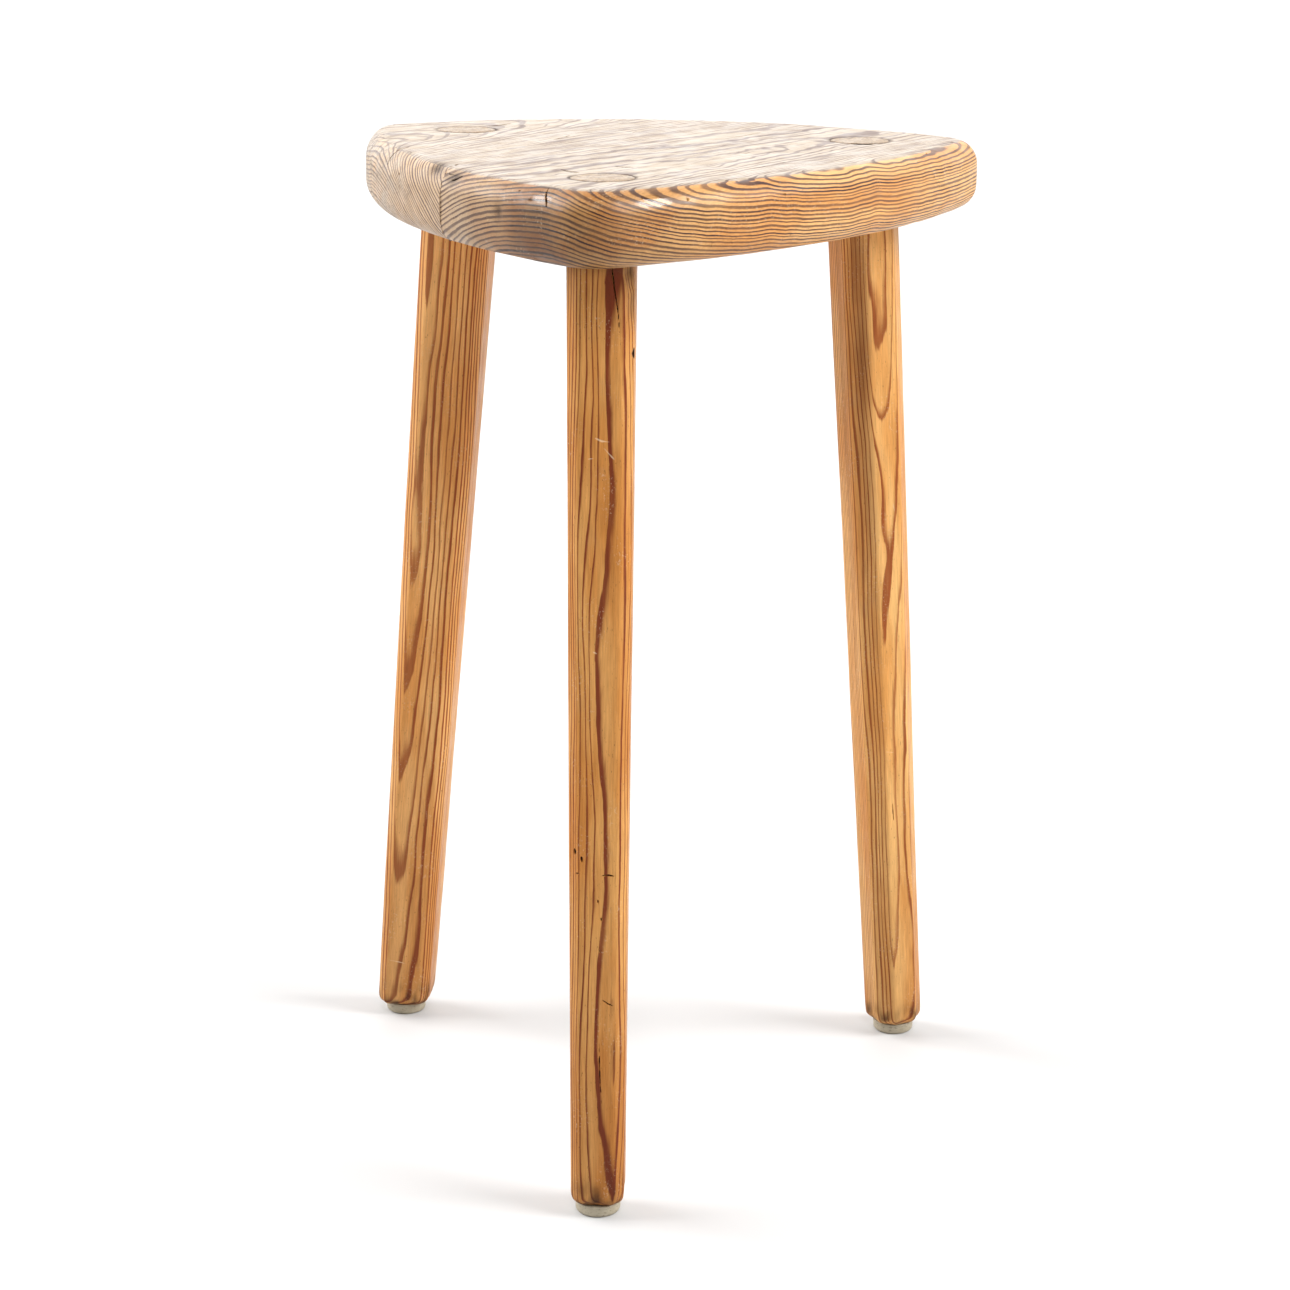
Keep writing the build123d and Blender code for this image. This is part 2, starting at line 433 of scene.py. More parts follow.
def wear_amount(points):
    """How far the seat's surface has worn in, in millimetres. The tenon ends share it."""
    worn = 0.30 + 0.18 * ripple(points, 55, 31) + 0.07 * ripple(points, 14, 32)
    for dent in SEAT_DENTS:
        worn += dent.depth * bump(points, dent.place, dent.size)
    return np.maximum(worn, 0.02)


def rim_wear(points, leg):
    """Extra wear of the mortise's rim in the seat's top, deeper on the side to the front."""
    rim = ease(axis_distance(points, leg), TENON_RADIUS + 1.2, TENON_RADIUS + 0.2)
    away = points - leg.foot - leg.lean * SEAT_TOP
    bearing = np.arctan2(away[:, 1], away[:, 0])
    front = ease(np.cos(bearing + math.pi / 2), 0.1, 0.9)
    patchy = 0.5 + 0.5 * ripple(points, 9, 41)
    return rim * (0.12 + 0.55 * front * patchy + 0.25 * patchy)


def build_board(name, rings, material):
    """A seat board, worn and cracked, with what its material reads stored on its vertices."""
    mesh = sliced_copy(name, SEAT_CELL)
    points = mesh_points(mesh)
    store(mesh, "level", points[:, 2] - SEAT_UNDERSIDE)
    normals = outer_normals(mesh, points)
    amount = wear_amount(points)
    for leg in LEGS.values():
        amount += rim_wear(points, leg) * (points[:, 2] > SEAT_TOP - 0.5)
    groove = crack_groove(points, SEAT_CRACKS[name])
    points = points - normals * (amount + groove)[:, None]
    points[:, 2] = np.clip(points[:, 2], SEAT_UNDERSIDE, SEAT_TOP)
    set_points(mesh, points)
    piece = new_object(name.replace("seat_board", "worn_board"), mesh)
    store(mesh, "ring", rings(points))
    local = np.stack([points @ ACROSS, points[:, 2] - SEAT_UNDERSIDE, points @ GRAIN], axis=1)
    store(mesh, "grain", local)
    dirt_and_shadow = ease(groove, 0.2, 1.0)
    for leg in LEGS.values():
        on_top = ease(points[:, 2], SEAT_TOP - 3, SEAT_TOP - 1)
        rim = ease(axis_distance(points, leg), TENON_RADIUS + 1.9, TENON_RADIUS + 0.5) * on_top
        dirt_and_shadow = np.maximum(dirt_and_shadow, rim * (0.68 + 0.32 * ripple(points, 11, 42)))
    for dent in SEAT_DENTS[:DIRTY_DENTS]:
        dirt_and_shadow = np.maximum(dirt_and_shadow, 0.9 * bump(points, dent.place, np.array(dent.size) * 1.1))
    store(mesh, "dirt_and_shadow", np.clip(dirt_and_shadow, 0, 1))
    # Painted shade: the seat's front-left side is darkened, as the lamps light it less than the
    # right
    aged = bump(points, (-56, -150, 498), (58, 58, 45))
    aged += 0.3 * bump(points, (-130, -60, 505), (70, 90, 40))
    store(mesh, "age", np.clip(aged + 0.12 * ripple(points, 20, 46) * aged, 0, 1))
    # Painted glare: the seat's left end is painted paler, as if the white surroundings reflected off
    # it
    painted_glare = ease(points[:, 0], -62, -112) * (1 + 0.2 * ripple(points, 25, 48))
    store(mesh, "painted_glare", np.clip(painted_glare, 0, 1))
    corner = bump(points, (-172, 112, 512), (30, 46, 36))
    corner += 0.45 * ease(points[:, 0], -110, -150)
    store(mesh, "worn", np.clip(corner, 0, 1) * (points[:, 2] > SEAT_UNDERSIDE + 1))
    polish = 1.2 * bump(points, (-7, -154, 524), (14, 7, 3.0))
    polish += bump(points, (-59, -149, 524.5), (7, 7, 2.6))
    store(mesh, "polish", np.clip(polish + 0.3 * ripple(points, 4, 47) * polish, 0, 1))
    shade(mesh)
    finish_piece(piece, material, "seat_pine", name)


# ---------------- legs


ARRIS_RADIUS = 1.7
MIDDLE_WIDTH = 34.0  # a leg's width about half way up
BORE_RADIUS = 1.25
BORE_TIP = 25.0
BORE_POINT = 4.0

# Where each leg was cut from its log. The pith ran in front of the leg's front face: across
# and ahead are its place in the leg's own directions at mid height, and the two slopes say
# how it drifts with height. ring is a ring's width at RING_RADIUS.
RING_RADIUS = 30.0
RING_NARROWING = 1.2  # rings grow narrower outward: their count goes as this power of radius
Log = namedtuple("Log", "across ahead across_slope ahead_slope ring seed")
LOGS = {
    "left": Log(-13.5, 27.0, -0.018, -0.012, 2.1, 51),
    "front": Log(12.5, 31.0, 0.009, 0.004, 2.0, 52),
    "right": Log(-4.5, 30.0, 0.012, -0.010, 2.0, 53),
}
DIRTY_DEPTH = 1.0  # dents at least this deep hold dirt
LEG_DENTS = {
    "left": [Dent((8, -16, 210), (3, 3, 9), 0.5), Dent((-12, -15, 330), (3, 3, 5), 0.4)],
    "front": [
        Dent((16, -12, 487), (5, 7, 6), 2.6),
        Dent((17, -14, 470), (3, 5, 9), 1.3),
        Dent((16.5, -13, 480), (2, 4, 3), 1.2),
    ],
    "right": [Dent((-4, -17, 300), (3, 3, 8), 0.5), Dent((14, -12, 130), (2, 4, 4), 0.6)],
}


def rounded_octagon(flat, cell):
    """Outline of a 1 mm wide square with planed-off, softened corners."""
    corners = []
    for quarter in range(4):
        turn = quarter * math.pi / 2
        for x, y in ((0.5, -0.5 + flat), (0.5, 0.5 - flat)):
            cos, sin = math.cos(turn), math.sin(turn)
            corners.append((x * cos - y * sin, x * sin + y * cos))
    corners = np.array(corners)
    radius = ARRIS_RADIUS / MIDDLE_WIDTH
    room = radius * math.tan(math.pi / 8)
    outline = []
    for here, corner in enumerate(corners):
        to_last = corners[here - 1] - corner
        to_next = corners[(here + 1) % 8] - corner
        start = corner + to_last / np.linalg.norm(to_last) * room
        end = corner + to_next / np.linalg.norm(to_next) * room
        middle = corner * (1 - 0.44 * room / np.linalg.norm(corner))
        outline += [start, middle, end]
        after = corners[(here + 1) % 8] - to_next / np.linalg.norm(to_next) * room
        pieces = max(2, round(np.linalg.norm(after - end) / cell))
        outline += [end + (after - end) * step / pieces for step in range(1, pieces)]
    return np.array(outline)


def leg_local(points, leg):
    """Points in a leg's own directions: across, depth and height, from its centre line."""
    height = points[:, 2]
    away = points - leg.foot - np.outer(height, leg.lean)
    return np.stack([away @ leg.across, away @ leg.depth, height], axis=1)


def leg_rings(local, leg):
    """Ring count at points of a leg."""
    log = LOGS[leg.name]
    across, depth, height = local.T
    rise = height - SEAT_UNDERSIDE / 2
    drift = 1.3 * ripple(local * [0, 0, 1], 130, log.seed)
    pith_across = log.across + log.across_slope * rise
    pith_depth = -leg.shoulder_width / 2 - log.ahead - log.ahead_slope * rise + drift
    radius = np.hypot(across - pith_across, depth - pith_depth)
    radius += 0.9 * ripple(local, (11, 11, 80), log.seed + 1)
    radius += 0.2 * ripple(local, (4, 4, 26), log.seed + 2)
    turns = (radius / RING_RADIUS) ** RING_NARROWING * RING_RADIUS / (RING_NARROWING * log.ring)
    return uneven(turns, log.seed + 3)


def ring_of(bm, points):
    """New vertices of bm at points given in millimetres."""
    return [bm.verts.new(point * MM) for point in points]


def bridge(bm, lower, upper):
    """Quads between two rings with the same number of vertices."""
    for here in range(len(lower)):
        following = (here + 1) % len(lower)
        bm.faces.new((lower[here], lower[following], upper[following], upper[here]))


def leg_surface(leg):
    """Closed mesh of a leg: nail bore, foot, tapered body, shoulder and tenon."""
    outline = rounded_octagon(leg.flat, 0.07)
    flat_points = outline[:, :1] * leg.across + outline[:, 1:] * leg.depth
    bearings = np.arctan2(outline[:, 1], outline[:, 0])
    round_points = np.cos(bearings)[:, None] * leg.across + np.sin(bearings)[:, None] * leg.depth
    way = leg.lean / np.linalg.norm(leg.lean)
    stretch = 1 / np.sqrt(1 - (round_points @ way) ** 2)
    round_points = round_points * stretch[:, None]

    def centre(height):
        return leg.foot + leg.lean * height

    def width(height):
        share = (height - GLIDE_TOP) / (SEAT_UNDERSIDE - GLIDE_TOP)
        return leg.foot_width + (leg.shoulder_width - leg.foot_width) * share

    def level(height, inset=0.0):
        return centre(height) + flat_points * (width(height) - 2 * inset)

    def circle(height, radius):
        return centre(height) + round_points * radius

    bm = bmesh.new()
    entry = centre(GLIDE_TOP)
    bore = round_points / stretch[:, None] * BORE_RADIUS
    tip = bm.verts.new((entry + UP * (BORE_TIP - GLIDE_TOP)) * MM)
    neck = entry + bore + UP * (BORE_TIP - BORE_POINT - GLIDE_TOP)
    rings = [ring_of(bm, neck), ring_of(bm, entry + bore)]
    for count in range(len(outline)):
        bm.faces.new((rings[0][count], rings[0][(count + 1) % len(outline)], tip))
    foot = level(GLIDE_TOP, FOOT_ROUND)
    rings.append(ring_of(bm, (entry + bore + foot) / 2))
    for turn in np.linspace(0, math.pi / 2, 8):
        height = GLIDE_TOP + FOOT_ROUND * (1 - math.cos(turn))
        rings.append(ring_of(bm, level(height, FOOT_ROUND * (1 - math.sin(turn)))))
    body_low = GLIDE_TOP + FOOT_ROUND
    steps = round((SEAT_UNDERSIDE - body_low) / LEG_CELL)
    for height in np.linspace(body_low, SEAT_UNDERSIDE, steps + 1)[1:]:
        rings.append(ring_of(bm, level(height)))
    for height in np.linspace(SEAT_UNDERSIDE, SEAT_TOP, 9):
        rings.append(ring_of(bm, circle(height, TENON_RADIUS)))
    for radius in (15.6, 14.6, 13, 11, 9, 7, 5, 3, 1):
        rings.append(ring_of(bm, circle(SEAT_TOP, radius)))
    for lower, upper in zip(rings, rings[1:]):
        bridge(bm, lower, upper)
    bm.faces.new(rings[-1])
    bmesh.ops.recalc_face_normals(bm, faces=bm.faces)
    refine_at_cracks(bm, leg_cracks(leg) + leg_marks(leg, LEG_SCRATCHES))
    mesh = bpy.data.meshes.new(f"leg_{leg.name}")
    bm.to_mesh(mesh)
    bm.free()
    return mesh


def on_leg(leg, across, height, depth=None):
    """Point on a leg's front face, or at a depth of its own, from its centre line."""
    taper = (leg.shoulder_width - leg.foot_width) / (SEAT_UNDERSIDE - GLIDE_TOP)
    if depth is None:
        depth = -(leg.foot_width + taper * (height - GLIDE_TOP)) / 2
    return leg.foot + leg.lean * height + leg.across * across + leg.depth * depth


# Cracks and pale scratches on the front faces: (across, height) points, width and depth
LEG_CRACKS = {
    "left": [],
    "front": [
        ([(5.2, 493), (6.8, 480), (8.8, 468), (9.6, 458)], 0.55, 2.0),
        ([(1.8, 185), (5.5, 185.4), (8.6, 184.7)], 0.8, 1.6),
        ([(2.4, 119.5), (5.4, 117.5), (8.8, 116.0)], 0.6, 1.4),
        ([(-11.4, 185.5), (-9.6, 186)], 0.8, 1.2),
        ([(1.0, 96), (1.4, 78), (2.2, 64)], 0.4, 1.2),
        ([(-12.0, 198.5), (-11.6, 195)], 1.5, 1.2),
        ([(-8.5, 195), (-8.2, 191.5)], 1.4, 1.2),
        ([(0.0, 172.4), (0.2, 170.4)], 1.2, 1.0),
        ([(1.7, 163), (1.9, 161)], 1.2, 1.0),
        ([(1.0, 146), (1.1, 144.6)], 0.9, 0.8),
    ],
    "right": [([(-4, 150), (-3.4, 138)], 0.4, 0.8)],
}
LEG_SCRATCHES = {
    "left": [([(-10, 37), (-4, 36), (1, 35)], 0.7, 0.12), ([(-3, 250), (2, 252)], 0.5, 0.1)],
    "front": [
        ([(1.8, 402), (4.5, 399), (7.4, 396)], 0.8, 0.12),
        ([(-2.4, 406.5), (1, 405), (4.8, 404.6)], 0.9, 0.12),
        ([(-6, 396), (-3, 396.4)], 0.5, 0.1),
        ([(-3, 300), (-1, 299)], 0.7, 0.1),
    ],
    "right": [([(-7, 182), (-2, 181)], 0.5, 0.1), ([(3, 330), (4, 324)], 0.5, 0.1)],
}


# A nick in the front leg's right arris: across, height and depth
FRONT_NICK = [(16.9, 450, -11.2), (16.2, 447, -11.6), (16.9, 444, -11.2)]


def leg_marks(leg, marks):
    """Marks of one leg as cracks in the shared frame."""
    return [
        Crack([on_leg(leg, across, height) for across, height in path], leg.depth, width, depth)
        for path, width, depth in marks[leg.name]
    ]


def leg_cracks(leg):
    """All of one leg's cracks in the shared frame."""
    cracks = leg_marks(leg, LEG_CRACKS)
    if leg.name == "front":
        nick = [on_leg(leg, *place) for place in FRONT_NICK]
        cracks.append(Crack(nick, leg.depth * 0.3 - leg.across, 2.2, 1.8))
    return cracks


def build_leg(leg, material):
    """A leg, worn and cracked, with what its material reads stored on its vertices."""
    mesh = leg_surface(leg)
    points = mesh_points(mesh)
    local = leg_local(points, leg)
    log = LOGS[leg.name]
    body = local[:, 2] < SEAT_UNDERSIDE - 0.1
    body &= np.hypot(local[:, 0], local[:, 1]) > BORE_RADIUS + 2
    inward = 0.22 + 0.16 * ripple(local, (18, 18, 110), log.seed + 4)
    inward += 0.06 * ripple(local, (6, 6, 24), log.seed + 5)
    for dent in LEG_DENTS[leg.name]:
        inward += dent.depth * bump(local, dent.place, dent.size)
    foot = ease(local[:, 2], GLIDE_TOP + 9, GLIDE_TOP + 1)
    inward += foot * 0.5 * (1 + ripple(local, 5, log.seed + 6))
    outward = local * [1, 1, 0]
    outward /= np.maximum(np.linalg.norm(outward, axis=1, keepdims=True), 1e-6)
    world_outward = outward[:, :1] * leg.across + outward[:, 1:2] * leg.depth
    moved = points - world_outward * (inward * body)[:, None]
    end = points[:, 2] > SEAT_TOP - NEAR
    reach = axis_distance(points, leg)
    sink = np.maximum(wear_amount(points) - 0.12, 0.0)
    sink += 0.35 * ease(reach, TENON_RADIUS - 0.9, TENON_RADIUS)
    moved[end] -= UP * sink[end, None]
    groove = crack_groove(points, leg_cracks(leg)) * body
    scratch = crack_groove(points, leg_marks(leg, LEG_SCRATCHES)) * body
    points = moved + leg.depth * (groove + scratch)[:, None]
    set_points(mesh, points)
    piece = new_object(f"worn_leg_{leg.name}", mesh)
    local = leg_local(points, leg)
    store(mesh, "ring", leg_rings(local, leg))
    store(mesh, "grain", local)
    dirt_and_shadow = ease(groove, 0.2, 1.0)
    for dent in LEG_DENTS[leg.name]:
        if dent.depth >= DIRTY_DEPTH:
            dirt_and_shadow = np.maximum(dirt_and_shadow, bump(local, dent.place, np.array(dent.size) * 0.9))
    store(mesh, "pale", np.clip(scratch / 0.1, 0, 1))
    stain = ease(local[:, 2], 28, 8) * (0.34 + 0.56 * ripple(local, (2.5, 2.5, 6), log.seed + 7))
    # Painted shadow: each leg darkens just below the seat's underside
    shoulder = ease(local[:, 2], SEAT_UNDERSIDE - 10, SEAT_UNDERSIDE) * 0.5
    on_end = ease(points[:, 2], SEAT_TOP - 3, SEAT_TOP - 1)
    rim = ease(axis_distance(points, leg), TENON_RADIUS - 0.7, TENON_RADIUS) * on_end
    rim *= 0.65 + 0.35 * ripple(points, 10, 43)
    shoulder *= local[:, 2] < SEAT_UNDERSIDE + 0.1
    for mark in (stain, shoulder, rim):
        dirt_and_shadow = np.maximum(dirt_and_shadow, mark)
    store(mesh, "dirt_and_shadow", np.clip(dirt_and_shadow, 0, 1))
    store(mesh, "level", on_end * (SEAT_TOP - SEAT_UNDERSIDE))
    # Darker towards the foot
    age = 0.34 * ease(local[:, 2], 240, 15)
    # Painted shade: a dark band down the right leg's front-left chamfer, which the lamps light
    # little
    if leg.name == "right":
        band = np.exp(-(((local[:, 0] + 0.34 * leg.shoulder_width) / 4.2) ** 2)) * (local[:, 1] < 0)
        band *= ease(local[:, 2], 150, 420)
        age += 0.75 * band * (1 + 0.3 * ripple(local, (3, 3, 30), 57))
    store(mesh, "age", np.clip(age, 0, 1))
    shade(mesh)
    finish_piece(piece, material, "leg_pine", f"leg_{leg.name}")


# ---------------- materials


def colour(red, green, blue):
    """An 8-bit screen colour as the linear numbers that Blender takes."""

    def linear(value):
        value /= 255
        return value / 12.92 if value <= 0.04045 else ((value + 0.055) / 1.055) ** 2.4

    return (linear(red), linear(green), linear(blue), 1.0)


class Graph:
    """Builds the nodes of one material. Values given to its methods are numbers or sockets."""

    def __init__(self, name):
        self.material = bpy.data.materials.new(name)
        self.material.use_nodes = True
        self.nodes = self.material.node_tree.nodes
        self.links = self.material.node_tree.links
        self.nodes.clear()

    def give(self, socket, value):
        if isinstance(value, bpy.types.NodeSocket):
            self.links.new(value, socket)
        else:
            socket.default_value = value

    def maths(self, operation, *values, clamp=False):
        node = self.nodes.new("ShaderNodeMath")
        node.operation = operation
        node.use_clamp = clamp
        for socket, value in zip(node.inputs, values):
            self.give(socket, value)
        return node.outputs[0]

    def stretch(self, vector, sizes):
        """The vector with each axis divided by its size."""
        node = self.nodes.new("ShaderNodeVectorMath")
        node.operation = "MULTIPLY"
        self.give(node.inputs[0], vector)
        self.give(node.inputs[1], tuple(1 / size for size in sizes))
        return node.outputs[0]

    def noise(self, vector, sizes, detail=2.0, roughness=0.5, distortion=0.0):
        """Noise from 0 to 1 with spots of the given sizes in millimetres."""
        node = self.nodes.new("ShaderNodeTexNoise")
        self.give(node.inputs["Vector"], self.stretch(vector, sizes))
        self.give(node.inputs["Scale"], 1.0)
        self.give(node.inputs["Detail"], detail)
        self.give(node.inputs["Roughness"], roughness)
        self.give(node.inputs["Distortion"], distortion)
        return node.outputs[0]

    def spread(self, value, low, high, to_low=0.0, to_high=1.0):
        """Maps low..high to to_low..to_high, smooth and clamped."""
        node = self.nodes.new("ShaderNodeMapRange")
        node.interpolation_type = "SMOOTHSTEP"
        for name, given in (("Value", value), ("From Min", low), ("From Max", high),
                            ("To Min", to_low), ("To Max", to_high)):
            self.give(node.inputs[name], given)
        return node.outputs[0]

    def mix(self, share, first, second, blend="MIX"):
        node = self.nodes.new("ShaderNodeMix")
        node.data_type = "RGBA"
        node.blend_type = blend
        for number, value in ((0, share), (6, first), (7, second)):
            self.give(node.inputs[number], value)
        return node.outputs[2]

    def attribute(self, name, output):
        node = self.nodes.new("ShaderNodeAttribute")
        node.attribute_name = name
        return node.outputs[output]

    def finish(self, base, roughness, height=None, **constants):
        """Principled surface. height is in millimetres."""
        shader = self.nodes.new("ShaderNodeBsdfPrincipled")
        self.give(shader.inputs["Base Color"], base)
        self.give(shader.inputs["Roughness"], roughness)
        for name, value in constants.items():
            self.give(shader.inputs[name.replace("_", " ")], value)
        if height is not None:
            bump_node = self.nodes.new("ShaderNodeBump")
            self.give(bump_node.inputs["Strength"], 1.0)
            self.give(bump_node.inputs["Distance"], MM)
            self.give(bump_node.inputs["Height"], height)
            self.links.new(bump_node.outputs[0], shader.inputs["Normal"])
        output = self.nodes.new("ShaderNodeOutputMaterial")
        self.links.new(shader.outputs[0], output.inputs[0])
        return self.material


WORN_FROM = 37.35  # the height above the seat's underside where the varnish has worn away
Wood = namedtuple(
    "Wood",
    "name early early_deep late bare_early bare_late grey aged late_share wander gloss seed",
)
# Paler colours for the painted glare on the seat's left end
GLARE_PALE = colour(226, 198, 166)
GLARE_DEEP = colour(206, 172, 136)
GLARE_LATE = colour(84, 44, 26)
FLECK = colour(70, 38, 20)
SCUFF = colour(226, 196, 158)
SCRATCH = colour(244, 216, 176)
# Colour of dirt and of the painted shadow at the legs' tops
DIRT_AND_SHADOW = colour(46, 26, 16)


def wood_material(wood):
    """Softwood under worn varnish: growth rings, fibres, resin flecks, dirt and scuffs, and painted
    shade, glare and shadow.
    """
    graph = Graph(wood.name)
    grain = graph.attribute("grain", "Vector")
    dirt_and_shadow = graph.attribute("dirt_and_shadow", "Fac")
    level = graph.attribute("level", "Fac")
    frayed = graph.noise(grain, (1.5, 1.5, 4), detail=2)
    bare = graph.maths("MULTIPLY_ADD", frayed, 0.4, level)
    bare = graph.spread(bare, WORN_FROM, WORN_FROM + 0.35)
    thin = graph.noise(grain, (9, 9, 20), detail=3)
    thin = graph.maths("ADD", graph.attribute("worn", "Fac"), thin)
    bare = graph.maths("MAXIMUM", bare, graph.spread(thin, 0.6, 1.3))

    # Rings, with edges that wander a little along the grain
    wander = graph.noise(grain, (5, 5, 45), detail=3, roughness=0.55)
    feather = graph.noise(grain, (0.8, 0.8, 9), detail=2, roughness=0.6)
    turns = graph.maths("ADD", graph.attribute("ring", "Fac"), float(wood.seed))
    turns = graph.maths("MULTIPLY_ADD", wander, wood.wander, turns)
    turns = graph.maths("MULTIPLY_ADD", feather, 0.1, turns)
    year = graph.maths("FLOOR", turns)
    season = graph.maths("FRACT", turns)
    luck = graph.nodes.new("ShaderNodeTexWhiteNoise")
    luck.noise_dimensions = "1D"
    graph.give(luck.inputs["W"], year)
    parts = graph.nodes.new("ShaderNodeSeparateColor")
    graph.links.new(luck.outputs["Color"], parts.inputs[0])
    start = graph.maths("MULTIPLY_ADD", parts.outputs[0], 0.26, 1 - wood.late_share - 0.16)
    rise_from = graph.maths("SUBTRACT", start, 0.16)
    rise_to = graph.maths("ADD", start, 0.1)
    late = graph.spread(season, rise_from, rise_to)
    late = graph.maths("MULTIPLY", late, graph.spread(season, 0.9, 0.985, 1.0, 0.0))
    strength = graph.maths("MULTIPLY_ADD", parts.outputs[1], 0.25, 0.8)
    patch = graph.noise(grain, (12, 12, 60), detail=2)
    strength = graph.maths("MULTIPLY", strength, graph.spread(patch, 0.3, 0.6, 0.82, 1.0))
    late_full = late
    late = graph.maths("MULTIPLY", late, strength)

    # Colours under the varnish
    warm = graph.noise(grain, (16, 16, 110), detail=3)
    painted_glare = graph.attribute("painted_glare", "Fac")
    early = graph.mix(graph.spread(warm, 0.38, 0.64), wood.early, wood.early_deep)
    # Painted glare: paler colours on the seat's left end
    early = graph.mix(painted_glare, early, graph.mix(warm, GLARE_PALE, GLARE_DEEP))
    coated = graph.mix(late, early, graph.mix(painted_glare, wood.late, GLARE_LATE))
    thin_from = graph.maths("ADD", start, 0.08)
    thin_to = graph.maths("ADD", start, 0.24)
    bare_late = graph.maths("MULTIPLY", late, graph.spread(season, thin_from, thin_to))
    bare_wood = graph.mix(bare_late, wood.bare_early, wood.bare_late)
    streak = graph.noise(grain, (3.0, 3.0, 90), detail=3, roughness=0.6)
    bare_wood = graph.mix(graph.spread(streak, 0.54, 0.62, 0.0, 0.6), bare_wood, wood.grey)
    pore = graph.noise(grain, (1.5, 1.5, 50), detail=2, roughness=0.6)
    bare_wood = graph.mix(graph.spread(pore, 0.56, 0.63, 0.0, 0.85), bare_wood, wood.grey)
    # Painted shade on the seat's front-left side and the right leg's chamfer, and the legs'
    # darkening towards the foot
    age = graph.attribute("age", "Fac")
    coated = graph.mix(age, coated, graph.mix(1.0, coated, wood.aged, "MULTIPLY"))
    base = graph.mix(bare, coated, bare_wood)

    # Fibres, resin flecks, scuffs and scratches
    fibre = graph.noise(grain, (0.5, 0.5, 12), detail=3, roughness=0.65)
    fibres = graph.mix(fibre, (0.66, 0.63, 0.6, 1), (1.32, 1.32, 1.31, 1))
    base = graph.mix(1.0, base, fibres, "MULTIPLY")
    strand = graph.noise(grain, (0.9, 0.9, 30), detail=3, roughness=0.65)
    strands = graph.mix(strand, (0.72, 0.68, 0.62, 1), (1.26, 1.26, 1.24, 1))
    base = graph.mix(1.0, base, strands, "MULTIPLY")
    fleck = graph.noise(grain, (0.5, 0.5, 2.4), detail=1)
    fleck = graph.spread(fleck, 0.7, 0.78, 0.0, 0.6)
    base = graph.mix(fleck, base, FLECK)
    scuff = graph.noise(grain, (1.1, 1.1, 1.6), detail=3, roughness=0.7)
    scuff_zone = graph.noise(grain, (14, 14, 30), detail=1)
    scuff_zone = graph.spread(scuff_zone, 0.5, 0.66)
    scuff = graph.maths("MULTIPLY", graph.spread(scuff, 0.56, 0.68), scuff_zone)
    base = graph.mix(graph.maths("MULTIPLY", scuff, 0.35), base, SCUFF)
    pale = graph.attribute("pale", "Fac")
    base = graph.mix(graph.maths("MULTIPLY", pale, 0.6), base, SCRATCH)

    # Dirt, and the painted shadow at the legs' tops, broken up so that their edges aren't smooth
    broken = graph.noise(grain, (2.2, 2.2, 6), detail=4, roughness=0.65)
    dark = graph.maths("MULTIPLY", dirt_and_shadow, graph.spread(broken, 0.2, 0.5, 0.55, 1.0), clamp=True)
    base = graph.mix(dark, base, DIRT_AND_SHADOW)

    # Gloss and relief
    haze = graph.noise(grain, (7, 7, 14), detail=3)
    roughness = graph.spread(haze, 0.3, 0.7, 0.36, 0.52)
    polish = graph.attribute("polish", "Fac")
    roughness = graph.spread(polish, 0.3, 0.7, roughness, 0.09)
    roughness = graph.maths("MULTIPLY_ADD", dark, 0.3, roughness)
    relief = graph.maths("MULTIPLY", late_full, 0.05)
    relief = graph.maths("MULTIPLY_ADD", fibre, 0.035, relief)
    pitted = graph.noise(grain, (3, 3, 8), detail=3)
    relief = graph.maths("MULTIPLY_ADD", pitted, 0.08, relief)
    relief = graph.maths("MULTIPLY_ADD", scuff, -0.04, relief)
    return graph.finish(base, roughness, relief, Specular_IOR_Level=wood.gloss)


PAINTED_SHADE_TINT = (0.27, 0.23, 0.18, 1)  # how dark the painted shade on the seat's front-left side is
LEG_DARKENING_AND_SHADE = (0.42, 0.33, 0.26, 1)  # how much darker a leg gets towards its foot and in the painted shade band on the right leg's front-left chamfer
WIDE_PINE = Wood(
    name="varnished_pine_wide",
    early=colour(230, 176, 110),
    early_deep=colour(216, 150, 78),
    late=colour(64, 24, 8),
    bare_early=colour(168, 151, 131),
    bare_late=colour(84, 52, 34),
    grey=colour(88, 58, 40),
    aged=PAINTED_SHADE_TINT,
    late_share=0.42,
    wander=0.25,
    gloss=0.5,
    seed=3,
)
NARROW_PINE = WIDE_PINE._replace(
    name="varnished_pine_narrow",
    early=colour(230, 182, 122),
    early_deep=colour(214, 158, 92),
    late=colour(64, 30, 14),
    bare_late=colour(92, 64, 46),
    grey=colour(88, 60, 42),
    late_share=0.38,
    wander=0.2,
    seed=40,
)
LEG_PINE = WIDE_PINE._replace(
    bare_early=colour(164, 142, 116),
    bare_late=colour(112, 88, 66),
    grey=colour(98, 82, 68),
    aged=LEG_DARKENING_AND_SHADE,
    wander=0.4,
    gloss=0.2,
)
# Early, deep early and late colour, share of late wood, and seed
LEG_LOOKS = {
    "left": (colour(228, 174, 110), colour(212, 148, 80), colour(142, 70, 28), 0.32, 80),
    "front": (colour(212, 156, 90), colour(194, 128, 60), colour(118, 50, 18), 0.25, 120),
    "right": (colour(230, 180, 114), colour(216, 154, 84), colour(146, 76, 30), 0.26, 160),
}
LEG_PINES = {
    name: LEG_PINE._replace(
        name=f"varnished_pine_leg_{name}",
        early=early,
        early_deep=deep,
        late=late,
        late_share=share,
        seed=seed,
    )
    for name, (early, deep, late, share, seed) in LEG_LOOKS.items()
}


